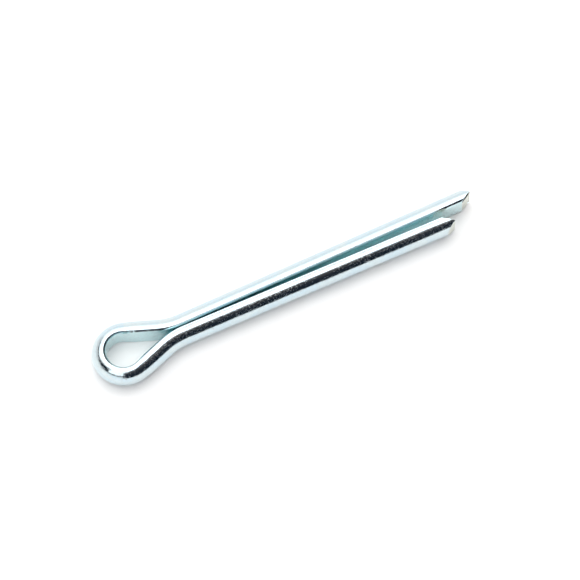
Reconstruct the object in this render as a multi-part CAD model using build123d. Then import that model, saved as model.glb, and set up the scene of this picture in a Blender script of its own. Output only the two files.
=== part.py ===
"""Cotter pin bent from one length of half-round steel wire.

The pin lies flat, as it comes to rest on a table. +X runs along the shank from
the eye to the points, +Z is up, the long leg is on the +Y side. The origin is at
the middle of the pin's plan box, on the surface that it lies on.
All lengths are in mm and all angles in degrees.
"""
import os
from math import cos, degrees, radians, sin, tan

from build123d import *

# Wire: a half-round section whose flat side faces the other leg
shank_diameter = 4.5
edge_round = 0.31

# Eye: a round bend that stretches the wire, so the section is thinner there
eye_inner_radius = 2.75
eye_depth_share = 0.9
flank_angle = 20.1

# Shoulders: the wire regains its depth over this length to each side of the bend's end
shoulder_run = 1.8
shoulder_steps = 4

# Necks: the bends that bring the two flanks into line as legs
neck_radius = 11.0
leg_gap = 0.27

# Legs: the short one is straight on, the long one springs out a little
short_leg_length = 44.0
long_leg_overhang = 3.9
short_leg_splay = 0.1
long_leg_splay = 0.9

# Points: each leg end is sheared from both sides to an upright edge
short_point_depth = 1.22
long_point_depth = 0.92
inner_shear_angle = 31.0
short_outer_shear_angle = 33.0
long_outer_shear_angle = 41.0

half_width = shank_diameter / 2
eye_depth = half_width * eye_depth_share
shoulder_angle = degrees(shoulder_run / eye_inner_radius)


def heading_vector(heading):
    """Unit vector along a plan heading."""
    return Vector(cos(radians(heading)), sin(radians(heading)))


def outward_vector(heading):
    """Unit vector out of the flat side of a wire that runs along a plan heading."""
    return Vector(-sin(radians(heading)), cos(radians(heading)))


def wire_section(depth):
    """Half-round face: x is the way out from the flat side, y is up."""
    round_side = ThreePointArc((0, -half_width), (depth, 0), (0, half_width))
    flat_side = Line((0, half_width), (0, -half_width))
    face = make_face([round_side, flat_side])
    return fillet(face.vertices(), edge_round)


def section_at(station, heading, depth):
    """The wire's section stood upright across a heading, with its flat side at the station."""
    place = Plane(origin=station, x_dir=outward_vector(heading), z_dir=heading_vector(heading))
    return place * wire_section(depth)


def bend_station(heading):
    """Point of the eye's inner wall where the wire has a heading, on its way to the +Y flank."""
    return outward_vector(heading) * eye_inner_radius


def flank_station(distance):
    """Point of the flank's flat side at a distance past the end of the eye's bend."""
    return bend_station(-flank_angle) + heading_vector(-flank_angle) * distance


def flank_length(splay):
    """Length of the straight flank, which leaves half the gap between the legs after the neck."""
    neck_drop = neck_radius * (cos(radians(splay)) - cos(radians(flank_angle)))
    return (bend_station(-flank_angle).Y - neck_drop - leg_gap / 2) / sin(radians(flank_angle))


def neck_centre(splay):
    """Centre of the neck's bend, which lies outside the pin."""
    return flank_station(flank_length(splay)) + outward_vector(-flank_angle) * neck_radius


def leg_start(splay):
    """Where the neck's bend ends and the straight leg starts."""
    return neck_centre(splay) - outward_vector(splay) * neck_radius


def eye_bend():
    """The round of the eye, from one shoulder through the crown to the other."""
    start = shoulder_angle - flank_angle
    section = section_at(bend_station(start), start, eye_depth)
    return revolve(section, Axis.Z, 180 - 2 * start)


def shoulder():
    """End of the bend and start of the flank, where the wire grows to its full depth."""
    sections = []
    for step in range(shoulder_steps + 1):
        share = step / shoulder_steps
        growth = share * share * (3 - 2 * share)
        depth = eye_depth + (half_width - eye_depth) * growth
        distance = shoulder_run * (2 * share - 1)
        heading = -flank_angle
        station = flank_station(distance)
        if distance < 0:
            heading -= degrees(distance / eye_inner_radius)
            station = bend_station(heading)
        sections.append(section_at(station, heading, depth))
    bend_end = ThreePointArc(
        bend_station(shoulder_angle - flank_angle),
        bend_station(shoulder_angle / 2 - flank_angle),
        bend_station(-flank_angle),
    )
    flank_start = Line(flank_station(0), flank_station(shoulder_run))
    return sweep(sections, path=Wire([bend_end, flank_start]), multisection=True)


def flank(splay):
    """Straight flank from the shoulder to the neck."""
    section = section_at(flank_station(shoulder_run), -flank_angle, half_width)
    return extrude(section, flank_length(splay) - shoulder_run, dir=heading_vector(-flank_angle))


def neck(splay):
    """Bend from the flank's heading to the leg's, with the round side inside the bend."""
    section = section_at(flank_station(flank_length(splay)), -flank_angle, half_width)
    return revolve(section, Axis(neck_centre(splay), (0, 0, 1)), flank_angle + splay)


def leg(splay, length, point_depth, outer_shear_angle):
    """Straight leg whose end is sheared from the flat side and from the round side."""
    start = leg_start(splay)
    bar = extrude(section_at(start, splay, half_width), length, dir=heading_vector(splay))
    inner_cut = point_depth / tan(radians(inner_shear_angle))
    outer_cut = (half_width - point_depth) / tan(radians(outer_shear_angle))
    outline = Polyline(
        (0, 0),
        (length - inner_cut, 0),
        (length, point_depth),
        (length - outer_cut, half_width),
        (0, half_width),
        close=True,
    )
    place = Plane(origin=start, x_dir=heading_vector(splay), z_dir=(0, 0, 1))
    return bar & extrude(place * make_face(outline), half_width, both=True)


def side(splay, length, point_depth, outer_shear_angle):
    """One half of the pin on the +Y side: shoulder, flank, neck and leg."""
    pointed_leg = leg(splay, length, point_depth, outer_shear_angle)
    return shoulder() + flank(splay) + neck(splay) + pointed_leg


def cotter_pin():
    """The whole pin as one solid, set in its frame."""
    short_reach = leg_start(short_leg_splay).X + short_leg_length * cos(radians(short_leg_splay))
    long_reach = short_reach + long_leg_overhang
    long_leg_length = (long_reach - leg_start(long_leg_splay).X) / cos(radians(long_leg_splay))
    long_side = side(long_leg_splay, long_leg_length, long_point_depth, long_outer_shear_angle)
    short_side = side(short_leg_splay, short_leg_length, short_point_depth, short_outer_shear_angle)
    pin = eye_bend() + long_side + mirror(short_side, about=Plane.XZ)
    box = pin.bounding_box()
    return Pos(-box.center().X, -box.center().Y, -box.min.Z) * pin


os.makedirs("parts", exist_ok=True)
export_step(cotter_pin(), "parts/cotter_pin.step")
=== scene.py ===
"""Cotter pin: the looks of a bright zinc-plated split pin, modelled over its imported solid.

The wire is drawn straight, sheared to a point at both ends, thinned where the eye will be
and then bent along its fold line, as the real pin is made. Lengths are in metres.
"""
from collections import namedtuple
from math import atan2, cos, degrees, pi, radians, sin, sqrt, tan

import bmesh
import bpy
from bpy.props import FloatProperty, FloatVectorProperty, IntProperty, PointerProperty
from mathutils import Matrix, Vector


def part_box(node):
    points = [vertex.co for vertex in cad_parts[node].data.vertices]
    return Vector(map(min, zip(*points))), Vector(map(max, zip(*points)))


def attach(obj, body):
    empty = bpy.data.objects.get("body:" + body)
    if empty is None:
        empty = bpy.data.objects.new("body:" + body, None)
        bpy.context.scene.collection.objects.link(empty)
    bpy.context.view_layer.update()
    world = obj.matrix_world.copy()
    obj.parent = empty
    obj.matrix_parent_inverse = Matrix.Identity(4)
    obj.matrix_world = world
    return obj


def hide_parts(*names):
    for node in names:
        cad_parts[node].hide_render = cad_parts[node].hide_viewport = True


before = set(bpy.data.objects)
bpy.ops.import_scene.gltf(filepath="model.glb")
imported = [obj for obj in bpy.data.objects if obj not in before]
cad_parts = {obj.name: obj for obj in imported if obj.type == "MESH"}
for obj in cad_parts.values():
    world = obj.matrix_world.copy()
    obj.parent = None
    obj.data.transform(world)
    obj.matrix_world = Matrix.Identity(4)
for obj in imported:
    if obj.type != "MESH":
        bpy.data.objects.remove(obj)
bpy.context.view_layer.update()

bl_info = {
    "name": "Cotter Pin",
    "version": (1, 0, 0),
    "blender": (4, 5, 0),
    "location": "View3D > Sidebar > Cotter Pin",
    "description": "Models a zinc-plated cotter pin from half-round wire and sets it on a studio floor",
    "category": "Add Mesh",
}

PIN_NODE = "cotter_pin"
PIN_BODY = "root"

# Attribute that holds each point's place on the straight wire
DRAWN_PLACE = "drawn"
# How far a ring's points may lie from its place along the straight wire
RING_TOLERANCE = 0.000001
# Distance at which a section's points are merged, as a share of its edges' radius
MERGE_SHARE = 0.001
# Least angle at an edge of a point that is rolled
CREASE_ANGLE = radians(15)
# Least angle between a sheared face and the wire
CUT_ANGLE = radians(22)
# Least angle at an edge that is shaded sharp
SHARP_ANGLE = radians(22)
# Corners of an ordinary face of the wire's mesh
FACE_CORNERS = 4
# How much further back sharper edges lie than usual ones, as a share of the difference of their radii
SET_BACK_SHARE = 0.55
# How far the flat side may stand out where its edges are rounder than usual
FLAT_BULGE = 0.00013
# Length of the fold line's steps along the legs
FOLD_STEP = 0.0004

# Marks per metre along the straight wire, across its depth and up it
LINE_STRETCH = (120, 7000, 7000)
PATCH_STRETCH = (170, 420, 420)
SWIRL_STRETCH = (3800, 5200, 5200)
TINT_STRETCH = (280, 500, 500)
# Octaves of those marks
LINE_DETAIL = 3.0
PATCH_DETAIL = 2.0
SWIRL_DETAIL = 2.0
TINT_DETAIL = 3.0
# How far the swirls and the tint are stirred
SWIRL_STIR = 1.5
TINT_STIR = 0.6
# Noise at which patches, wear and tint set in, and at which they are full
PATCH_LIMITS = (0.12, 0.50)
WEAR_LIMITS = (0.46, 0.72)
TINT_LIMITS = (0.38, 0.64)
# Cells per metre that can hold a pit
PIT_SCALE = 4200
# How far pits are drawn out of round, and the octaves of that
PIT_WARP = (0.00025, 0.00025, 0.00025)
PIT_WARP_DETAIL = 1.0
# Distances of a pit's rim and floor from its cell's middle, in cells
PIT_BOWL = (0.34, 0.12)
# Chances of a cell between which its pit grows from none to the full depth
PIT_CHANCE = (0.55, 0.9)

# Depths between which the thicker film of the flat side runs out, and how much deeper it goes in the legs
INNER_FILM_START = -0.00006
INNER_FILM_END = 0.0
GAP_FILM_DEPTH = 0.00008
# Distances along the wire from the eye's middle between which it changes to the legs' film
LEG_FILM_START = 0.0105
LEG_FILM_END = 0.0140
# Distances along the wire from the eye's middle between which the legs' film grows thinner and lighter,
# and its painted shade between the legs fades
THICK_FILM_END = 0.0230
THIN_FILM_START = 0.0470
# Share of the film that the pressed strips beside the legs' edges have lost
STRIP_FILM_LOSS = 0.5
# Heights and depths between which those strips run out
STRIP_LOW = 0.00162
STRIP_HIGH = 0.00172
STRIP_INSIDE = 0.00010
STRIP_OUTSIDE = 0.00016
# Heights between which the long point's inner face darkens with a painted dark reflection, how ragged
# that is, and depths where it ends
RIM_LOW = 0.00122
RIM_HIGH = 0.00160
RIM_RAGGED = 0.00012
RIM_INSIDE = 0.00062
RIM_OUTSIDE = 0.00096

# Sockets of a Mix node that mixes colours
MIX_SHARE = 0
MIX_LOW = 6
MIX_HIGH = 7
MIX_RESULT = 2

# An edge of the wire: its radius, and the lean and width of the narrow strip between it and the flat
Edge = namedtuple("Edge", "radius lean strip")
# A run of the straight wire, whose edges change from its start to its end
Run = namedtuple("Run", "name length rings start_edge end_edge")
# A part of the light tent: a direction inside it, and its straight edges, each through two directions
TentPart = namedtuple("TentPart", "middle edges")

# Studio directions: azimuth from below the camera to the picture's right, and elevation, in degrees
ROOF_FRONT = TentPart((0, 90), (((62, 63), (10, 54)),))
ROOF_REST = TentPart((0, 90), (
    ((62, 60), (150, 40)),
    ((-3, 47), (-90, 35)),
    ((-100, 33), (-150, 24)),
    ((150, 22), (-150, 22)),
))
PANEL = TentPart((-25, 45), (
    ((-2, 0), (-2, 60)),
    ((-47, 0), (-47, 60)),
    ((-2, 21), (-47, 21)),
))
SIDE_WALL = TentPart((-120, 0), (((-60, 9), (-150, 21)),))
FAR_WALL = TentPart((180, 0), (
    ((160, 0), (160, 60)),
    ((-140, 0), (-140, 60)),
    ((160, 30), (-160, 30)),
))
FRONT_WALL = TentPart((-25, 0), (
    ((-2, 0), (-2, 60)),
    ((-2, 12), (-50, 12)),
))
ROOM = TentPart((60, 30), (((-2, 0), (-2, 60)),))
ROOM_FADE = TentPart((0, 90), (((0, 45), (70, 45)),))
ROOM_FADE_SOFTNESS = 0.5
# Round parts of the tent: the middle's direction, and the angles off it where a part ends and is full
CROWN_MIDDLE = (105, 82)
CROWN_ANGLES = (13, 8)
KEY_MIDDLE = (100, 76)
KEY_ANGLES = (34, 20)
# Width of the camera's sensor in millimetres
SENSOR_WIDTH = 36


class PinSizes(bpy.types.PropertyGroup):
    """Sizes of the wire, its bends and its points."""

    wire_height: FloatProperty(
        name="Wire height", description="Height of the half-round wire across its flat side",
        default=0.0045, unit="LENGTH")
    edge_round: FloatProperty(
        name="Edge round", description="Usual radius of the edges between the flat and the round side",
        default=0.00031, unit="LENGTH")
    leg_edge_round: FloatProperty(
        name="Leg edge round", description="Radius of those edges where the legs were pressed together",
        default=0.0001, unit="LENGTH")
    neck_strip_lean: FloatProperty(
        name="Strip lean at necks",
        description="Lean of the strips that the press left beside the legs' edges",
        default=radians(25.5), subtype="ANGLE")
    point_strip_lean: FloatProperty(
        name="Strip lean at points", description="Lean of those strips near the points",
        default=radians(30), subtype="ANGLE")
    neck_strip: FloatProperty(
        name="Strip at necks", description="Width of those strips where the legs start",
        default=0.00042, unit="LENGTH")
    point_strip: FloatProperty(
        name="Strip at points", description="Width of those strips near the points",
        default=0.00028, unit="LENGTH")
    bend_edge_round: FloatProperty(
        name="Bend edge round", description="Radius of those edges round the eye and at the long point",
        default=0.0006, unit="LENGTH")
    flank_edge_round: FloatProperty(
        name="Flank edge round", description="Radius of those edges along the eye's flanks",
        default=0.0003, unit="LENGTH")
    flank_strip_lean: FloatProperty(
        name="Flank strip lean",
        description="Lean of the strips that the bending tool left along the flanks",
        default=radians(48), subtype="ANGLE")
    flank_strip: FloatProperty(
        name="Flank strip", description="Width of the strips along the flanks",
        default=0.00028, unit="LENGTH")
    eye_radius: FloatProperty(
        name="Eye radius", description="Radius of the eye's inner wall",
        default=0.00275, unit="LENGTH")
    eye_depth_share: FloatProperty(
        name="Eye depth",
        description="Depth of the wire round the eye as a share of its depth in the legs",
        default=0.9, subtype="FACTOR")
    flank_angle: FloatProperty(
        name="Flank angle", description="Angle of the eye's straight flanks to the shank",
        default=radians(20.1), subtype="ANGLE")
    shoulder_run: FloatProperty(
        name="Shoulder run",
        description="Length to each side of the bend's end over which the wire regains its depth",
        default=0.0018, unit="LENGTH")
    neck_radius: FloatProperty(
        name="Neck radius",
        description="Bend radius of the wire's flat side where a flank becomes a leg",
        default=0.011, unit="LENGTH")
    leg_gap: FloatProperty(
        name="Leg gap", description="Gap between the legs where they start",
        default=0.00027, unit="LENGTH")
    short_leg_length: FloatProperty(
        name="Short leg", description="Length of the short leg after its neck",
        default=0.044, unit="LENGTH")
    long_leg_overhang: FloatProperty(
        name="Overhang", description="How far the long leg's point stands past the short leg's",
        default=0.0039, unit="LENGTH")
    short_leg_splay: FloatProperty(
        name="Short leg splay", description="Angle by which the short leg springs out",
        default=radians(0.1), subtype="ANGLE")
    long_leg_splay: FloatProperty(
        name="Long leg splay", description="Angle by which the long leg springs out",
        default=radians(0.9), subtype="ANGLE")
    short_point_depth: FloatProperty(
        name="Short point depth", description="Distance of the short leg's point from its flat side",
        default=0.00122, unit="LENGTH")
    long_point_depth: FloatProperty(
        name="Long point depth", description="Distance of the long leg's point from its flat side",
        default=0.00092, unit="LENGTH")
    inner_shear_angle: FloatProperty(
        name="Inner shear angle",
        description="Angle to the leg of the faces sheared from the flat side",
        default=radians(31), subtype="ANGLE")
    short_shear_angle: FloatProperty(
        name="Short outer shear",
        description="Angle to the short leg of its face sheared from the round side",
        default=radians(33), subtype="ANGLE")
    long_shear_angle: FloatProperty(
        name="Long outer shear",
        description="Angle to the long leg of its face sheared from the round side",
        default=radians(41), subtype="ANGLE")
    point_run: FloatProperty(
        name="Point run", description="Length of each leg's end in which its point is sheared",
        default=0.0045, unit="LENGTH")
    press_run: FloatProperty(
        name="Press run",
        description="Length over which the long leg's edges grow rounder before its point",
        default=0.0013, unit="LENGTH")
    inner_roll: FloatProperty(
        name="Inner roll",
        description="Width of the rolled edge round the long point's face on its flat side",
        default=0.00012, unit="LENGTH")
    outer_roll: FloatProperty(
        name="Outer roll", description="Width of the rolled edge round each other sheared face",
        default=0.00006, unit="LENGTH")
    point_roll: FloatProperty(
        name="Point roll",
        description="Width of the round on the upright edge between the sheared faces",
        default=0.00004, unit="LENGTH")
    cut_rim: FloatProperty(
        name="Cut rim",
        description="Width of the rim that keeps each sheared face flat up to its rolled edge",
        default=0.00002, unit="LENGTH")


class PinMesh(bpy.types.PropertyGroup):
    """Numbers of steps in the wire's mesh."""

    round_steps: IntProperty(
        name="Round steps", description="Faces round the wire's round side", default=56)
    edge_steps: IntProperty(
        name="Edge steps", description="Faces round each rounded edge", default=8)
    flat_steps: IntProperty(
        name="Flat steps", description="Faces across the flat side", default=12)
    press_steps: IntProperty(
        name="Press steps", description="Rings where a leg's edges become its point's edges", default=4)
    leg_steps: IntProperty(
        name="Leg steps", description="Rings along each leg", default=60)
    neck_steps: IntProperty(
        name="Neck steps", description="Rings along each neck", default=30)
    flank_steps: IntProperty(
        name="Flank steps", description="Rings along each flank", default=12)
    shoulder_steps: IntProperty(
        name="Shoulder steps", description="Rings along each shoulder", default=24)
    eye_steps: IntProperty(
        name="Eye steps", description="Rings round the eye between its shoulders", default=96)
    roll_steps: IntProperty(
        name="Roll steps", description="Faces round each rolled edge of a point", default=6)


class PinFinish(bpy.types.PropertyGroup):
    """Colours, gloss and marks of the plating and of the sheared ends."""

    plate_colour: FloatVectorProperty(
        name="Plate colour", description="Colour of the bright zinc plate",
        default=(0.60, 0.735, 0.80), subtype="COLOR", min=0.0, max=1.0)
    tint_colour: FloatVectorProperty(
        name="Tint colour", description="Colour of the plate where its passive film is thinner",
        default=(0.66, 0.755, 0.775), subtype="COLOR", min=0.0, max=1.0)
    inner_colour: FloatVectorProperty(
        name="Inner colour", description="Colour of the thicker passive film on the eye's inner wall",
        default=(0.63, 0.82, 0.835), subtype="COLOR", min=0.0, max=1.0)
    gap_colour: FloatVectorProperty(
        name="Gap colour", description="Colour of the passive film between the legs near the points",
        default=(0.60, 0.96, 0.98), subtype="COLOR", min=0.0, max=1.0)
    # Darker teal between the legs near the necks: partly the film's tint, partly painted shade where the
    # legs close in
    deep_film_and_shade_colour: FloatVectorProperty(
        name="Deep colour",
        description="Colour of the passive film between the legs near the necks, the thickest",
        default=(0.36, 0.74, 0.78), subtype="COLOR", min=0.0, max=1.0)
    worn_colour: FloatVectorProperty(
        name="Worn colour", description="Colour of the plate in its pits and scuffs",
        default=(0.60, 0.66, 0.69), subtype="COLOR", min=0.0, max=1.0)
    cut_colour: FloatVectorProperty(
        name="Cut colour", description="Colour of the plate over the sheared steel",
        default=(0.74, 0.76, 0.68), subtype="COLOR", min=0.0, max=1.0)
    stain_colour: FloatVectorProperty(
        name="Stain colour", description="Colour of the film in the scores of the sheared steel",
        default=(0.60, 0.62, 0.55), subtype="COLOR", min=0.0, max=1.0)
    # A painted dark reflection: a near-black band along the top of the long point's face sheared from the
    # flat side
    painted_reflection_colour: FloatVectorProperty(
        name="Rim colour",
        description="Colour of the burnt rim of the long point's face sheared from the flat side",
        default=(0.035, 0.027, 0.024), subtype="COLOR", min=0.0, max=1.0)
    plate_roughness: FloatProperty(
        name="Plate roughness", description="Roughness of the clean plate",
        default=0.10, subtype="FACTOR")
    worn_roughness: FloatProperty(
        name="Worn roughness", description="Roughness of the plate in its pits and scuffs",
        default=0.34, subtype="FACTOR")
    strip_roughness: FloatProperty(
        name="Strip roughness", description="Roughness of the pressed strips beside the legs' edges",
        default=0.40, subtype="FACTOR")
    cut_roughness: FloatProperty(
        name="Cut roughness", description="Roughness of the sheared ends",
        default=0.26, subtype="FACTOR")
    line_height: FloatProperty(
        name="Draw lines", description="Height of the lines that the die drew along the wire",
        default=0.0000006, unit="LENGTH", precision=6)
    pit_depth: FloatProperty(
        name="Pits", description="Depth of the small pits in the plate",
        default=0.000008, unit="LENGTH", precision=6)
    scuff_height: FloatProperty(
        name="Scuffs", description="Height of the swirled scuffs from handling",
        default=0.000006, unit="LENGTH", precision=6)
    cut_line_height: FloatProperty(
        name="Cut lines", description="Height of the lines on the sheared ends",
        default=0.000003, unit="LENGTH", precision=6)


class StageLook(bpy.types.PropertyGroup):
    """Camera, floor and light tent."""

    camera_azimuth: FloatProperty(
        name="Camera azimuth", description="Turn of the camera round the pin, from the -Y side",
        default=radians(-24.4), subtype="ANGLE")
    camera_elevation: FloatProperty(
        name="Camera elevation", description="Height of the camera above the floor, as an angle",
        default=radians(68.5), subtype="ANGLE")
    camera_distance: FloatProperty(
        name="Camera distance", description="Distance of the camera from its target",
        default=0.9, unit="LENGTH")
    camera_target: FloatVectorProperty(
        name="Camera target", description="Point at the middle of the picture",
        default=(0.00041, -0.00083, 0.002225), subtype="TRANSLATION")
    frame_width: FloatProperty(
        name="Frame width", description="Width of the picture at the target",
        default=0.08654, unit="LENGTH")
    floor_size: FloatProperty(
        name="Floor size", description="Side of the square floor",
        default=4.0, unit="LENGTH")
    floor_camera_share: FloatProperty(
        name="Floor to camera",
        description="How much brighter the floor shows to the camera than it lights the pin",
        default=0.06, subtype="FACTOR")
    floor_mirror_share: FloatProperty(
        name="Floor in mirrors",
        description="How much brighter the floor shows in the pin than it lights it",
        default=0.05, subtype="FACTOR")
    tent_softness: FloatProperty(
        name="Tent softness", description="Blur of the tent's edges, as the sine of an angle",
        default=0.04)
    roof_softness: FloatProperty(
        name="Roof softness", description="Blur of the roof's front edge, as the sine of an angle",
        default=0.13)
    tent_colour: FloatVectorProperty(
        name="Tent colour", description="Light of the tent's roof and front panel",
        default=(1.7, 1.7, 1.7), subtype="COLOR", min=0.0, max=2.0)
    key_colour: FloatVectorProperty(
        name="Key colour", description="Light of the lamp above the tent's roof",
        default=(3.8, 3.8, 3.8), subtype="COLOR", min=0.0, max=8.0)
    crown_colour: FloatVectorProperty(
        name="Crown colour", description="Light of the dimmer sheet at the tent's crown",
        default=(1.12, 1.1, 1.1), subtype="COLOR", min=0.0, max=2.0)
    side_colour: FloatVectorProperty(
        name="Side colour", description="Light of the low wall on the camera's left",
        default=(0.92, 0.88, 0.87), subtype="COLOR", min=0.0, max=2.0)
    wall_colour: FloatVectorProperty(
        name="Wall colour", description="Light of the other low walls of the tent",
        default=(1.1, 1.1, 1.1), subtype="COLOR", min=0.0, max=2.0)
    room_low_colour: FloatVectorProperty(
        name="Low room colour", description="Light of the dark room near the floor",
        default=(0.010, 0.017, 0.027), subtype="COLOR", min=0.0, max=1.0)
    room_high_colour: FloatVectorProperty(
        name="High room colour", description="Light of the dark room under the tent's edge",
        default=(0.165, 0.135, 0.13), subtype="COLOR", min=0.0, max=1.0)
    gap_bounces: IntProperty(
        name="Gap bounces",
        description="How often light is mirrored to and fro between the legs' flat sides",
        default=16)
    floor_colour: FloatVectorProperty(
        name="Floor colour", description="Colour of the floor",
        default=(0.9, 0.9, 0.9), subtype="COLOR", min=0.0, max=1.0)


def clear_selection():
    """Deselects every object, so that an operator acts on the new one alone."""
    bpy.ops.object.select_all(action="DESELECT")


def select_rings(pin, places):
    """In edit mode, selects the rings of the straight wire at some places along it."""
    shape = bmesh.from_edit_mesh(pin.data)
    for vertex in shape.verts:
        vertex.select = any(abs(vertex.co.x - place) < RING_TOLERANCE for place in places)
    shape.select_flush_mode()
    bmesh.update_edit_mesh(pin.data)


def smooth_step(share):
    """Share that leaves 0 and reaches 1 without a kink."""
    return share * share * (3 - 2 * share)


def half_wire_height(sizes):
    """Half the wire's height, which is also its depth from the flat side."""
    return sizes.wire_height / 2


def flank_length(sizes, splay):
    """Length of a straight flank, which leaves half the gap between the legs after the neck."""
    neck_drop = sizes.neck_radius * (cos(splay) - cos(sizes.flank_angle))
    bend_end = sizes.eye_radius * cos(sizes.flank_angle)
    return (bend_end - neck_drop - sizes.leg_gap / 2) / sin(sizes.flank_angle)


def leg_start(sizes, splay):
    """Plan point, from the eye's centre, where a neck ends and its straight leg starts."""
    flank = flank_length(sizes, splay)
    along = sizes.eye_radius * sin(sizes.flank_angle) + flank * cos(sizes.flank_angle)
    along += sizes.neck_radius * (sin(sizes.flank_angle) + sin(splay))
    return Vector((along, sizes.leg_gap / 2))


def long_leg_length(sizes):
    """Length of the long leg, whose point stands past the short leg's by the overhang."""
    short_start = leg_start(sizes, sizes.short_leg_splay)
    short_reach = short_start.x + sizes.short_leg_length * cos(sizes.short_leg_splay)
    long_start = leg_start(sizes, sizes.long_leg_splay)
    return (short_reach + sizes.long_leg_overhang - long_start.x) / cos(sizes.long_leg_splay)


def wire_runs(sizes, steps):
    """Runs of the straight wire from the short point to the long one."""
    neck_end_edge = Edge(sizes.leg_edge_round, sizes.neck_strip_lean, sizes.neck_strip)
    leg_end_edge = Edge(sizes.leg_edge_round, sizes.point_strip_lean, sizes.point_strip)
    flank_edge = Edge(sizes.flank_edge_round, sizes.flank_strip_lean, sizes.flank_strip)
    bend_edge = Edge(sizes.bend_edge_round, 0.0, sizes.flank_strip)

    def side_runs(splay, leg_length, point_edge):
        """Runs of one side, from its point to the eye."""
        neck = sizes.neck_radius * (sizes.flank_angle + splay)
        flank = flank_length(sizes, splay) - sizes.shoulder_run
        leg = leg_length - sizes.point_run - sizes.press_run
        return [
            Run("point", sizes.point_run, 1, point_edge, point_edge),
            Run("press", sizes.press_run, steps.press_steps, point_edge, leg_end_edge),
            Run("leg", leg, steps.leg_steps, leg_end_edge, neck_end_edge),
            Run("neck", neck, steps.neck_steps, neck_end_edge, flank_edge),
            Run("flank", flank, steps.flank_steps, flank_edge, flank_edge),
            Run("shoulder", 2 * sizes.shoulder_run, steps.shoulder_steps, flank_edge, bend_edge),
        ]

    short_side = side_runs(sizes.short_leg_splay, sizes.short_leg_length, leg_end_edge)
    long_side = side_runs(sizes.long_leg_splay, long_leg_length(sizes), bend_edge)
    turned_side = [run._replace(start_edge=run.end_edge, end_edge=run.start_edge) for run in long_side]
    eye_arc = sizes.eye_radius * (pi + 2 * sizes.flank_angle)
    eye = Run("eye", eye_arc - 2 * sizes.shoulder_run, steps.eye_steps, bend_edge, bend_edge)
    return short_side + [eye] + turned_side[::-1]


def draw_section(pin, sizes, steps, place, edge):
    """Draws the wire's half-round outline across X at a place, with its flat side in the XZ plane."""
    half_height = half_wire_height(sizes)
    edge_depth = max((sizes.edge_round - edge.radius) * SET_BACK_SHARE, -FLAT_BULGE) + edge.radius
    edge_height = sqrt((half_height - edge.radius) ** 2 - edge_depth ** 2)
    edge_angle = atan2(edge_height, edge_depth)
    edge_turn = pi - edge_angle - edge.lean
    strip_out = edge.strip * sin(edge.lean)
    strip_up = edge.strip * cos(edge.lean)
    flat_depth = edge_depth - edge.radius * cos(edge.lean) - strip_out
    flat_height = edge_height + edge.radius * sin(edge.lean) - strip_up
    bpy.ops.mesh.select_all(action="DESELECT")
    bpy.ops.mesh.primitive_plane_add(size=sizes.wire_height, location=(place, 0, 0))
    bpy.ops.mesh.merge(type="CENTER")
    bpy.ops.transform.translate(value=(0, flat_depth, -flat_height))
    flat_step = 2 * flat_height / steps.flat_steps
    for step in range(steps.flat_steps):
        bpy.ops.mesh.extrude_region_move(TRANSFORM_OT_translate={"value": (0, 0, flat_step)})
    bpy.ops.mesh.extrude_region_move(TRANSFORM_OT_translate={"value": (0, strip_out, strip_up)})
    for turn, count, centre in (
            (edge_turn, steps.edge_steps, (place, edge_depth, edge_height)),
            (2 * edge_angle, steps.round_steps, (place, 0, 0)),
            (edge_turn, steps.edge_steps, (place, edge_depth, -edge_height))):
        bpy.ops.mesh.spin(steps=count, angle=turn, center=centre, axis=(1, 0, 0))
    bpy.ops.mesh.extrude_region_move(TRANSFORM_OT_translate={"value": (0, -strip_out, strip_up)})
    select_rings(pin, [place])
    bpy.ops.mesh.remove_doubles(threshold=edge.radius * MERGE_SHARE)


def draw_wire(pin, sizes, steps):
    """Draws the straight wire along +X, run by run, and returns its rings' stations."""
    stations = []
    place = 0.0
    runs = wire_runs(sizes, steps)
    draw_section(pin, sizes, steps, place, runs[0].start_edge)
    for run in runs:
        end = place + run.length
        if run.start_edge == run.end_edge:
            select_rings(pin, [place])
            for ring in range(run.rings):
                bpy.ops.mesh.extrude_region_move(
                    TRANSFORM_OT_translate={"value": (run.length / run.rings, 0, 0)})
        else:
            draw_section(pin, sizes, steps, end, run.end_edge)
            select_rings(pin, [place, end])
            bpy.ops.mesh.bridge_edge_loops(number_cuts=run.rings - 1, interpolation="LINEAR")
        for ring in range(run.rings):
            share = (ring + 1) / run.rings
            stations.append((place + run.length * share, share, run.name))
        place = end
    for cap in (0.0, place):
        select_rings(pin, [cap])
        bpy.ops.mesh.edge_face_add()
    return stations


def thin_eye(pin, sizes, stations):
    """Scales the rings of the eye and its shoulders to the depth that the bend leaves the wire."""
    reached_eye = False
    for place, share, name in stations:
        if name == "eye":
            reached_eye = True
            growth = 0.0
        elif name == "shoulder":
            growth = smooth_step(share if reached_eye else 1 - share)
        else:
            continue
        depth = sizes.eye_depth_share + (1 - sizes.eye_depth_share) * growth
        select_rings(pin, [place])
        bpy.ops.transform.resize(value=(1, depth, 1), center_override=(place, 0, 0))


def shear_point(sizes, tip, way, point_depth, outer_angle):
    """Cuts one end of the wire from its flat side and from its round side to an upright edge."""
    for outward, angle in ((-1, sizes.inner_shear_angle), (1, outer_angle)):
        bpy.ops.mesh.select_all(action="SELECT")
        bpy.ops.mesh.bisect(
            plane_co=(tip, point_depth, 0), plane_no=(way * tan(angle), outward, 0),
            use_fill=True, clear_outer=True)


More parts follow.
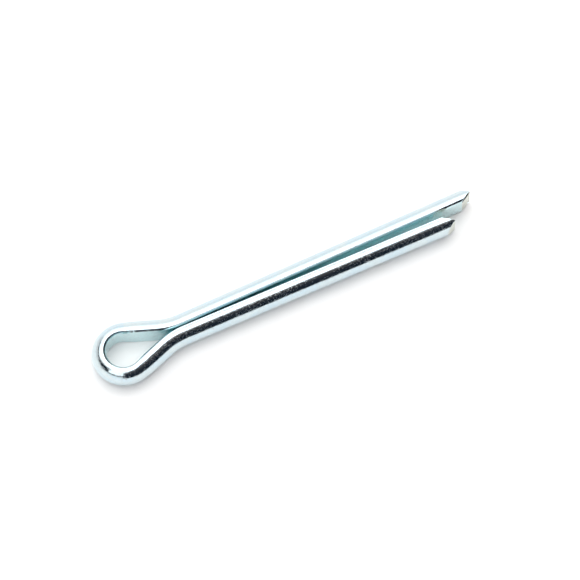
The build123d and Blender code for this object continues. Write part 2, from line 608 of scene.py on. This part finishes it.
def roll_point_edges(pin, sizes, steps, tips):
    """Rounds the edges of the sheared faces, and the upright edges between them by less."""
    shape = bmesh.from_edit_mesh(pin.data)
    weights = shape.edges.layers.float.new("bevel_weight_edge")
    for edge in shape.edges:
        middle = (edge.verts[0].co + edge.verts[1].co) / 2
        near_tip = min(abs(middle.x - tip) for tip in tips) < sizes.point_run / 2
        if not near_tip or edge.calc_face_angle() < CREASE_ANGLE:
            continue
        sheared = [face for face in edge.link_faces if abs(face.normal.x) > sin(CREASE_ANGLE)]
        if len(sheared) == 2:
            width = sizes.point_roll
        elif sheared[0].normal.y < 0 and abs(middle.x - tips[1]) < sizes.point_run:
            width = sizes.inner_roll
        else:
            width = sizes.outer_roll
        edge[weights] = width / sizes.inner_roll
    bmesh.update_edit_mesh(pin.data)
    bpy.ops.object.mode_set(mode="OBJECT")
    roll = pin.modifiers.new("roll", "BEVEL")
    roll.limit_method = "WEIGHT"
    roll.width = sizes.inner_roll
    roll.segments = steps.roll_steps
    roll.use_clamp_overlap = False
    bpy.ops.object.modifier_apply(modifier=roll.name)


def mark_cuts(pin, sizes, tips):
    """Rims the sheared faces and gives them the second material."""
    bpy.ops.object.mode_set(mode="EDIT")
    shape = bmesh.from_edit_mesh(pin.data)
    for face in shape.faces:
        place = face.calc_center_median().x
        near_tip = min(abs(place - tip) for tip in tips) < sizes.point_run
        upright = abs(face.normal.z) < sin(CREASE_ANGLE)
        is_cut = near_tip and (upright or face.normal.y < 0) and abs(face.normal.x) > sin(CUT_ANGLE)
        face.material_index = 1 if is_cut else 0
        face.select = is_cut and len(face.verts) > FACE_CORNERS
    shape.select_flush_mode()
    bmesh.update_edit_mesh(pin.data)
    bpy.ops.mesh.inset(thickness=sizes.cut_rim, use_individual=True)
    bpy.ops.object.mode_set(mode="OBJECT")


def note_straight_wire(pin, eye_middle):
    """Keeps each point's place on the straight wire, from the eye's middle, which the marks follow."""
    drawn = pin.data.attributes.new(DRAWN_PLACE, "FLOAT_VECTOR", "POINT")
    for place, vertex in zip(drawn.data, pin.data.vertices):
        place.vector = vertex.co - Vector((eye_middle, 0, 0))


def fold_line(sizes):
    """Plan points, from the eye's centre, of the line that the wire's flat side is bent along."""
    def arc(centre, radius, start, turn):
        """Points about a degree apart on an arc."""
        count = max(2, round(abs(degrees(turn))))
        angles = [start + turn * step / count for step in range(count + 1)]
        return [centre + radius * Vector((cos(angle), sin(angle))) for angle in angles]

    def side(splay, leg_length):
        """Points of a neck and its leg, on the +Y side."""
        flank = flank_length(sizes, splay)
        outward = Vector((sin(sizes.flank_angle), cos(sizes.flank_angle)))
        onward = Vector((cos(sizes.flank_angle), -sin(sizes.flank_angle)))
        neck_centre = outward * (sizes.eye_radius + sizes.neck_radius) + onward * flank
        neck = arc(neck_centre, sizes.neck_radius, -pi / 2 - sizes.flank_angle, sizes.flank_angle + splay)
        leg_way = Vector((cos(splay), sin(splay)))
        leg_points = round(leg_length / FOLD_STEP)
        leg = [neck[-1] + leg_way * leg_length * (step + 1) / leg_points for step in range(leg_points)]
        return neck + leg

    short_side = side(sizes.short_leg_splay, sizes.short_leg_length)
    long_side = side(sizes.long_leg_splay, long_leg_length(sizes))
    bend_turn = pi + 2 * sizes.flank_angle
    eye = arc(Vector((0, 0)), sizes.eye_radius, -pi / 2 + sizes.flank_angle, -bend_turn)
    return [Vector((point.x, -point.y)) for point in reversed(short_side)] + eye + long_side


def bend_wire(pin, sizes, eye_centre):
    """Bends the straight wire along its fold line, which lies at the height of the eye's centre."""
    points = fold_line(sizes)
    curve = bpy.data.curves.new("fold_line", "CURVE")
    curve.dimensions = "3D"
    curve.twist_mode = "Z_UP"
    spline = curve.splines.new("POLY")
    spline.points.add(len(points) - 1)
    for target, point in zip(spline.points, points):
        target.co = (eye_centre.x + point.x, eye_centre.y + point.y, eye_centre.z, 1)
    line = bpy.data.objects.new("fold_line", curve)
    bpy.context.collection.objects.link(line)
    modifier = pin.modifiers.new("fold", "CURVE")
    modifier.object = line
    modifier.deform_axis = "POS_X"
    bpy.ops.object.modifier_apply(modifier=modifier.name)
    bpy.data.objects.remove(line)
    bpy.data.curves.remove(curve)


def add_node(tree, kind, inputs=None, **settings):
    """Adds a shader node, sets its options and fills its inputs with values or links."""
    node = tree.nodes.new(kind)
    for name, value in settings.items():
        setattr(node, name, value)
    for name, value in (inputs or {}).items():
        if isinstance(value, bpy.types.NodeSocket):
            tree.links.new(value, node.inputs[name])
        else:
            node.inputs[name].default_value = value
    return node


def mix_colour(tree, share, low, high):
    """Colour that goes from low to high with a share."""
    mixed = add_node(tree, "ShaderNodeMix", data_type="RGBA")
    for index, value in ((MIX_SHARE, share), (MIX_LOW, low), (MIX_HIGH, high)):
        if isinstance(value, bpy.types.NodeSocket):
            tree.links.new(value, mixed.inputs[index])
        else:
            mixed.inputs[index].default_value = value
    return mixed.outputs[MIX_RESULT]


def stretched_noise(tree, place, stretch, detail, stir=0.0):
    """Noise from 0 to 1 whose features have a size of about 1 / stretch along each axis."""
    spread = add_node(tree, "ShaderNodeVectorMath", {0: place, 1: stretch}, operation="MULTIPLY")
    noise = add_node(tree, "ShaderNodeTexNoise", {
        "Vector": spread.outputs[0], "Scale": 1.0, "Detail": detail, "Distortion": stir})
    return noise.outputs["Fac"]


def ramp(tree, value, low, high):
    """Smooth step from 0 at low to 1 at high."""
    step = add_node(tree, "ShaderNodeMapRange", {
        "Value": value, "From Min": low, "From Max": high}, interpolation_type="SMOOTHSTEP")
    return step.outputs["Result"]


def combine(tree, operation, *values):
    """Sum, product or the like of numbers or links."""
    return add_node(tree, "ShaderNodeMath", dict(enumerate(values)), operation=operation).outputs[0]


def plating_marks_group():
    """Marks of the plated wire, laid along the straight wire: draw lines, pits, scuffs and tint."""
    group = bpy.data.node_groups.new("plating_marks", "ShaderNodeTree")
    for name in ("Lines", "Pits", "Scuffs"):
        group.interface.new_socket(name, in_out="INPUT", socket_type="NodeSocketFloat")
    for name in ("Height", "Wear", "Tint"):
        group.interface.new_socket(name, in_out="OUTPUT", socket_type="NodeSocketFloat")
    given = group.nodes.new("NodeGroupInput").outputs
    result = group.nodes.new("NodeGroupOutput").inputs
    place = add_node(group, "ShaderNodeAttribute", attribute_name=DRAWN_PLACE).outputs["Vector"]

    lines = stretched_noise(group, place, LINE_STRETCH, LINE_DETAIL)
    line_height = combine(group, "MULTIPLY", lines, given["Lines"])

    spread = add_node(group, "ShaderNodeVectorMath", {0: place, 1: SWIRL_STRETCH}, operation="MULTIPLY")
    warp = add_node(group, "ShaderNodeTexNoise", {
        "Vector": spread.outputs[0], "Scale": 1.0, "Detail": PIT_WARP_DETAIL})
    warped = add_node(group, "ShaderNodeVectorMath", {
        0: warp.outputs["Color"], 1: PIT_WARP, 2: place}, operation="MULTIPLY_ADD")
    cells = add_node(group, "ShaderNodeTexVoronoi", {"Vector": warped.outputs[0], "Scale": PIT_SCALE})
    chance = add_node(group, "ShaderNodeSeparateColor", {"Color": cells.outputs["Color"]})
    bowl = ramp(group, cells.outputs["Distance"], *PIT_BOWL)
    pits = combine(group, "MULTIPLY", bowl, ramp(group, chance.outputs["Red"], *PIT_CHANCE))
    pit_height = combine(group, "MULTIPLY", pits, given["Pits"])

    patches = ramp(group, stretched_noise(group, place, PATCH_STRETCH, PATCH_DETAIL), *PATCH_LIMITS)
    swirls = stretched_noise(group, place, SWIRL_STRETCH, SWIRL_DETAIL, SWIRL_STIR)
    scuffs = combine(group, "MULTIPLY", patches, swirls)
    scuff_height = combine(group, "MULTIPLY", scuffs, given["Scuffs"])

    raised = combine(group, "ADD", line_height, scuff_height)
    group.links.new(combine(group, "SUBTRACT", raised, pit_height), result["Height"])
    worn_patch = combine(group, "MULTIPLY", patches, ramp(group, swirls, *WEAR_LIMITS))
    group.links.new(combine(group, "MAXIMUM", pits, worn_patch), result["Wear"])
    tint = stretched_noise(group, place, TINT_STRETCH, TINT_DETAIL, TINT_STIR)
    group.links.new(ramp(group, tint, *TINT_LIMITS), result["Tint"])
    return group


def metal_material(name, marks, lines, pits, scuffs):
    """A metal whose marks have heights of its own; returns it with its tree, shader and marks."""
    material = bpy.data.materials.new(name)
    material.use_nodes = True
    tree = material.node_tree
    shader = tree.nodes["Principled BSDF"]
    shader.inputs["Metallic"].default_value = 1.0
    marked = add_node(tree, "ShaderNodeGroup", node_tree=marks)
    for socket, height in (("Lines", lines), ("Pits", pits), ("Scuffs", scuffs)):
        marked.inputs[socket].default_value = height
    bump = add_node(tree, "ShaderNodeBump", {"Distance": 1.0, "Height": marked.outputs["Height"]})
    tree.links.new(bump.outputs["Normal"], shader.inputs["Normal"])
    return material, tree, shader, marked.outputs


def zinc_material(finish, marks, press_start, press_end):
    """Bright zinc plate under a film of uneven tint, dull in its pits, scuffs and pressed strips."""
    material, tree, shader, marked = metal_material(
        "zinc_plate", marks, finish.line_height, finish.pit_depth, finish.scuff_height)
    film = mix_colour(tree, marked["Tint"], (*finish.plate_colour, 1), (*finish.tint_colour, 1))
    place = add_node(tree, "ShaderNodeAttribute", attribute_name=DRAWN_PLACE).outputs["Vector"]
    drawn = add_node(tree, "ShaderNodeSeparateXYZ", {"Vector": place}).outputs
    along = combine(tree, "ABSOLUTE", drawn["X"])
    past_necks = ramp(tree, along, LEG_FILM_START, LEG_FILM_END)
    in_legs = combine(tree, "MULTIPLY", past_necks, ramp(tree, drawn["X"], press_end, press_start))
    beside_edge = ramp(tree, combine(tree, "ABSOLUTE", drawn["Z"]), STRIP_LOW, STRIP_HIGH)
    near_flat = ramp(tree, drawn["Y"], STRIP_OUTSIDE, STRIP_INSIDE)
    strip = combine(tree, "MULTIPLY", combine(tree, "MULTIPLY", beside_edge, near_flat), in_legs)
    film_depth = combine(tree, "MULTIPLY_ADD", in_legs, -GAP_FILM_DEPTH, drawn["Y"])
    flat_film = ramp(tree, film_depth, INNER_FILM_END, INNER_FILM_START)
    flat_side = combine(tree, "MULTIPLY_ADD", strip, -STRIP_FILM_LOSS, flat_film)
    # Between the legs the film is darkened towards the necks as painted shade
    thinned = ramp(tree, along, THICK_FILM_END, THIN_FILM_START)
    leg_film_and_shade = mix_colour(tree, thinned, (*finish.deep_film_and_shade_colour, 1), (*finish.gap_colour, 1))
    inner_film = mix_colour(tree, in_legs, (*finish.inner_colour, 1), leg_film_and_shade)
    film = mix_colour(tree, flat_side, film, inner_film)
    colour = mix_colour(tree, marked["Wear"], film, (*finish.worn_colour, 1))
    tree.links.new(colour, shader.inputs["Base Color"])
    roughness = add_node(tree, "ShaderNodeMapRange", {
        "Value": marked["Wear"], "To Min": finish.plate_roughness, "To Max": finish.worn_roughness})
    dull_strip = combine(tree, "MULTIPLY", strip, finish.strip_roughness)
    dullest = combine(tree, "MAXIMUM", roughness.outputs["Result"], dull_strip)
    tree.links.new(dullest, shader.inputs["Roughness"])
    return material


def sheared_material(finish, marks):
    """Plate over sheared steel: creamy, duller and scored along the cut, with a painted dark reflection
    along the top of the long point's inner face.
    """
    material, tree, shader, marked = metal_material(
        "sheared_end", marks, finish.cut_line_height, 0.0, 0.0)
    colour = mix_colour(tree, marked["Tint"], (*finish.cut_colour, 1), (*finish.stain_colour, 1))
    place = add_node(tree, "ShaderNodeAttribute", attribute_name=DRAWN_PLACE).outputs["Vector"]
    drawn = add_node(tree, "ShaderNodeSeparateXYZ", {"Vector": place}).outputs
    # Painted dark reflection: a near-black band along the top of the long point's inner face
    inner_face = ramp(tree, drawn["Y"], RIM_OUTSIDE, RIM_INSIDE)
    long_end = combine(tree, "GREATER_THAN", drawn["X"], 0.0)
    ragged_height = combine(tree, "MULTIPLY_ADD", marked["Tint"], RIM_RAGGED, drawn["Z"])
    rim = combine(tree, "MULTIPLY", ramp(tree, ragged_height, RIM_LOW, RIM_HIGH), inner_face)
    rim = combine(tree, "MULTIPLY", rim, long_end)
    tree.links.new(mix_colour(tree, rim, colour, (*finish.painted_reflection_colour, 1)), shader.inputs["Base Color"])
    # The painted dark reflection is no metal, so the plate doesn't mirror there
    tree.links.new(combine(tree, "SUBTRACT", 1.0, rim), shader.inputs["Metallic"])
    shader.inputs["Specular IOR Level"].default_value = 0.0
    shader.inputs["Roughness"].default_value = finish.cut_roughness
    return material


class OBJECT_OT_cotter_pin_wire(bpy.types.Operator):
    """Models the folded wire of the pin in place of its solid"""

    bl_idname = "object.cotter_pin_wire"
    bl_label = "Cotter pin wire"

    def execute(self, context):
        """Draws, shears, marks and bends the wire, and says what it stands for."""
        sizes = context.scene.pin_sizes
        steps = context.scene.pin_mesh
        clear_selection()
        bpy.ops.mesh.primitive_plane_add(size=sizes.wire_height, enter_editmode=True)
        pin = context.object
        pin.name = "plated_wire"
        bpy.ops.mesh.delete(type="VERT")
        stations = draw_wire(pin, sizes, steps)
        thin_eye(pin, sizes, stations)
        wire_end = stations[-1][0]
        shear_point(sizes, 0.0, -1, sizes.short_point_depth, sizes.short_shear_angle)
        shear_point(sizes, wire_end, 1, sizes.long_point_depth, sizes.long_shear_angle)
        bpy.ops.mesh.select_all(action="SELECT")
        bpy.ops.mesh.normals_make_consistent(inside=False)
        roll_point_edges(pin, sizes, steps, (0.0, wire_end))
        finish = context.scene.pin_finish
        marks = plating_marks_group()
        eye_places = [place for place, share, name in stations if name == "eye"]
        eye_middle = (eye_places[0] + eye_places[-1]) / 2
        press_place = wire_end - sizes.point_run - sizes.press_run - eye_middle
        zinc = zinc_material(finish, marks, press_place, press_place + sizes.press_run)
        pin.data.materials.append(zinc)
        pin.data.materials.append(sheared_material(finish, marks))
        mark_cuts(pin, sizes, (0.0, wire_end))
        note_straight_wire(pin, eye_middle)
        low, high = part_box(PIN_NODE)
        eye_reach = sizes.eye_radius + half_wire_height(sizes) * sizes.eye_depth_share
        eye_centre = Vector((low.x + eye_reach, (low.y + high.y) / 2, (low.z + high.z) / 2))
        bend_wire(pin, sizes, eye_centre)
        bpy.ops.object.shade_smooth_by_angle(angle=SHARP_ANGLE)
        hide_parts(PIN_NODE)
        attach(pin, PIN_BODY)
        return {"FINISHED"}


def shown_brightness(tree, look):
    """1 for rays that only light things, and more for rays from the camera, a mirror or glass."""
    path = add_node(tree, "ShaderNodeLightPath").outputs
    mirrored = combine(tree, "MAXIMUM", path["Is Glossy Ray"], path["Is Transmission Ray"])
    in_mirror = combine(tree, "MULTIPLY_ADD", mirrored, look.floor_mirror_share, 1.0)
    return combine(tree, "MULTIPLY_ADD", path["Is Camera Ray"], look.floor_camera_share, in_mirror)


def add_floor(look):
    """Adds the pale floor, which shows white and keeps the pin's shadow."""
    clear_selection()
    bpy.ops.mesh.primitive_plane_add(size=look.floor_size)
    floor = bpy.context.object
    floor.name = "floor"
    material = bpy.data.materials.new("floor")
    material.use_nodes = True
    tree = material.node_tree
    shader = tree.nodes["Principled BSDF"]
    paper = add_node(tree, "ShaderNodeVectorMath", {
        0: look.floor_colour, "Scale": shown_brightness(tree, look)}, operation="SCALE")
    tree.links.new(paper.outputs[0], shader.inputs["Base Color"])
    shader.inputs["Roughness"].default_value = 1.0
    shader.inputs["Specular IOR Level"].default_value = 0.0
    floor.data.materials.append(material)


def studio_direction(look, azimuth, elevation):
    """Unit vector from the pin. Azimuth 0 points below the camera and grows to the picture's right."""
    turn = look.camera_azimuth + radians(azimuth)
    height = radians(elevation)
    return Vector((sin(turn) * cos(height), -cos(turn) * cos(height), sin(height)))


def closeness(tree, direction):
    """Cosine of the angle between a ray's way and a direction."""
    way = add_node(tree, "ShaderNodeTexCoord").outputs["Generated"]
    return add_node(tree, "ShaderNodeVectorMath", {0: way, 1: direction},
                    operation="DOT_PRODUCT").outputs["Value"]


def all_masks(tree, masks):
    """Mask that is 1 where every given mask is."""
    result = masks[0]
    for mask in masks[1:]:
        result = combine(tree, "MULTIPLY", result, mask)
    return result


def part_mask(tree, look, part, softness):
    """Mask that is 1 within the straight edges of a part of the tent."""
    masks = []
    for first, second in part.edges:
        normal = studio_direction(look, *first).cross(studio_direction(look, *second)).normalized()
        if normal.dot(studio_direction(look, *part.middle)) < 0:
            normal.negate()
        masks.append(ramp(tree, closeness(tree, normal), -softness, softness))
    return all_masks(tree, masks)


def cap_mask(tree, look, middle, angles):
    """Mask of a round part of the tent: 0 from the first angle off its middle, 1 within the second."""
    outer, inner = (cos(radians(angle)) for angle in angles)
    return ramp(tree, closeness(tree, studio_direction(look, *middle)), outer, inner)


def add_world(look):
    """Lights the pin as a white tent does that is open to a dark room on the camera's right."""
    world = bpy.data.worlds.new("light_tent")
    world.use_nodes = True
    tree = world.node_tree
    soft = look.tent_softness
    roof = all_masks(tree, [
        part_mask(tree, look, ROOF_FRONT, look.roof_softness),
        part_mask(tree, look, ROOF_REST, soft),
    ])
    key = all_masks(tree, [roof, cap_mask(tree, look, KEY_MIDDLE, KEY_ANGLES)])
    room_top = all_masks(tree, [
        part_mask(tree, look, ROOM_FADE, ROOM_FADE_SOFTNESS),
        part_mask(tree, look, ROOM, soft),
    ])
    colour = mix_colour(tree, room_top, (*look.room_low_colour, 1), (*look.room_high_colour, 1))
    for mask, light in (
            (part_mask(tree, look, SIDE_WALL, soft), look.side_colour),
            (part_mask(tree, look, FAR_WALL, soft), look.wall_colour),
            (part_mask(tree, look, FRONT_WALL, soft), look.wall_colour),
            (roof, look.tent_colour),
            (part_mask(tree, look, PANEL, soft), look.tent_colour),
            (key, look.key_colour),
            (cap_mask(tree, look, CROWN_MIDDLE, CROWN_ANGLES), look.crown_colour)):
        colour = mix_colour(tree, mask, colour, (*light, 1))
    camera_ray = add_node(tree, "ShaderNodeLightPath").outputs["Is Camera Ray"]
    seen = mix_colour(tree, camera_ray, colour, (1, 1, 1, 1))
    tree.links.new(seen, tree.nodes["Background"].inputs["Color"])
    bpy.context.scene.world = world


def add_camera(look):
    """Adds the camera at the picture's angle, far off with a long lens."""
    target = Vector(look.camera_target)
    back = Vector((
        sin(look.camera_azimuth) * cos(look.camera_elevation),
        -cos(look.camera_azimuth) * cos(look.camera_elevation),
        sin(look.camera_elevation),
    ))
    lens = bpy.data.cameras.new("camera")
    lens.sensor_width = SENSOR_WIDTH
    lens.lens = lens.sensor_width * look.camera_distance / look.frame_width
    camera = bpy.data.objects.new("camera", lens)
    bpy.context.collection.objects.link(camera)
    camera.location = target + back * look.camera_distance
    camera.rotation_mode = "QUATERNION"
    camera.rotation_quaternion = (-back).to_track_quat("-Z", "Y")
    bpy.context.scene.camera = camera


class OBJECT_OT_cotter_pin_stage(bpy.types.Operator):
    """Sets up the floor, the studio light and the camera"""

    bl_idname = "object.cotter_pin_stage"
    bl_label = "Cotter pin stage"

    def execute(self, context):
        """Adds the floor, the light tent and the camera, and sets how the picture is made."""
        look = context.scene.stage_look
        add_floor(look)
        add_world(look)
        add_camera(look)
        context.scene.view_settings.view_transform = "Standard"
        context.scene.cycles.glossy_bounces = look.gap_bounces
        context.scene.cycles.max_bounces = max(context.scene.cycles.max_bounces, look.gap_bounces)
        return {"FINISHED"}


class VIEW3D_PT_cotter_pin(bpy.types.Panel):
    """Sizes and operators of the cotter pin"""

    bl_label = "Cotter Pin"
    bl_idname = "VIEW3D_PT_cotter_pin"
    bl_space_type = "VIEW_3D"
    bl_region_type = "UI"
    bl_category = "Cotter Pin"

    def draw(self, context):
        """Lists the operators, and under them the settings group by group."""
        for operator in OPERATORS:
            self.layout.operator(operator.bl_idname)
        for name, group in SETTINGS.items():
            box = self.layout.box()
            box.label(text=group.bl_rna.description)
            for setting in group.__annotations__:
                box.prop(getattr(context.scene, name), setting)


OPERATORS = (OBJECT_OT_cotter_pin_wire, OBJECT_OT_cotter_pin_stage)
SETTINGS = {
    "pin_sizes": PinSizes,
    "pin_mesh": PinMesh,
    "pin_finish": PinFinish,
    "stage_look": StageLook,
}
CLASSES = (*SETTINGS.values(), *OPERATORS, VIEW3D_PT_cotter_pin)


def register():
    """Registers the classes and gives the scene its settings."""
    for entry in CLASSES:
        bpy.utils.register_class(entry)
    for name, group in SETTINGS.items():
        setattr(bpy.types.Scene, name, PointerProperty(type=group))


def unregister():
    """Takes the settings and the classes away again."""
    for name in reversed(SETTINGS):
        delattr(bpy.types.Scene, name)
    for entry in reversed(CLASSES):
        bpy.utils.unregister_class(entry)


def main():
    """Makes the pin and its stage."""
    register()
    bpy.ops.object.cotter_pin_wire()
    bpy.ops.object.cotter_pin_stage()


if __name__ == "__main__":
    main()
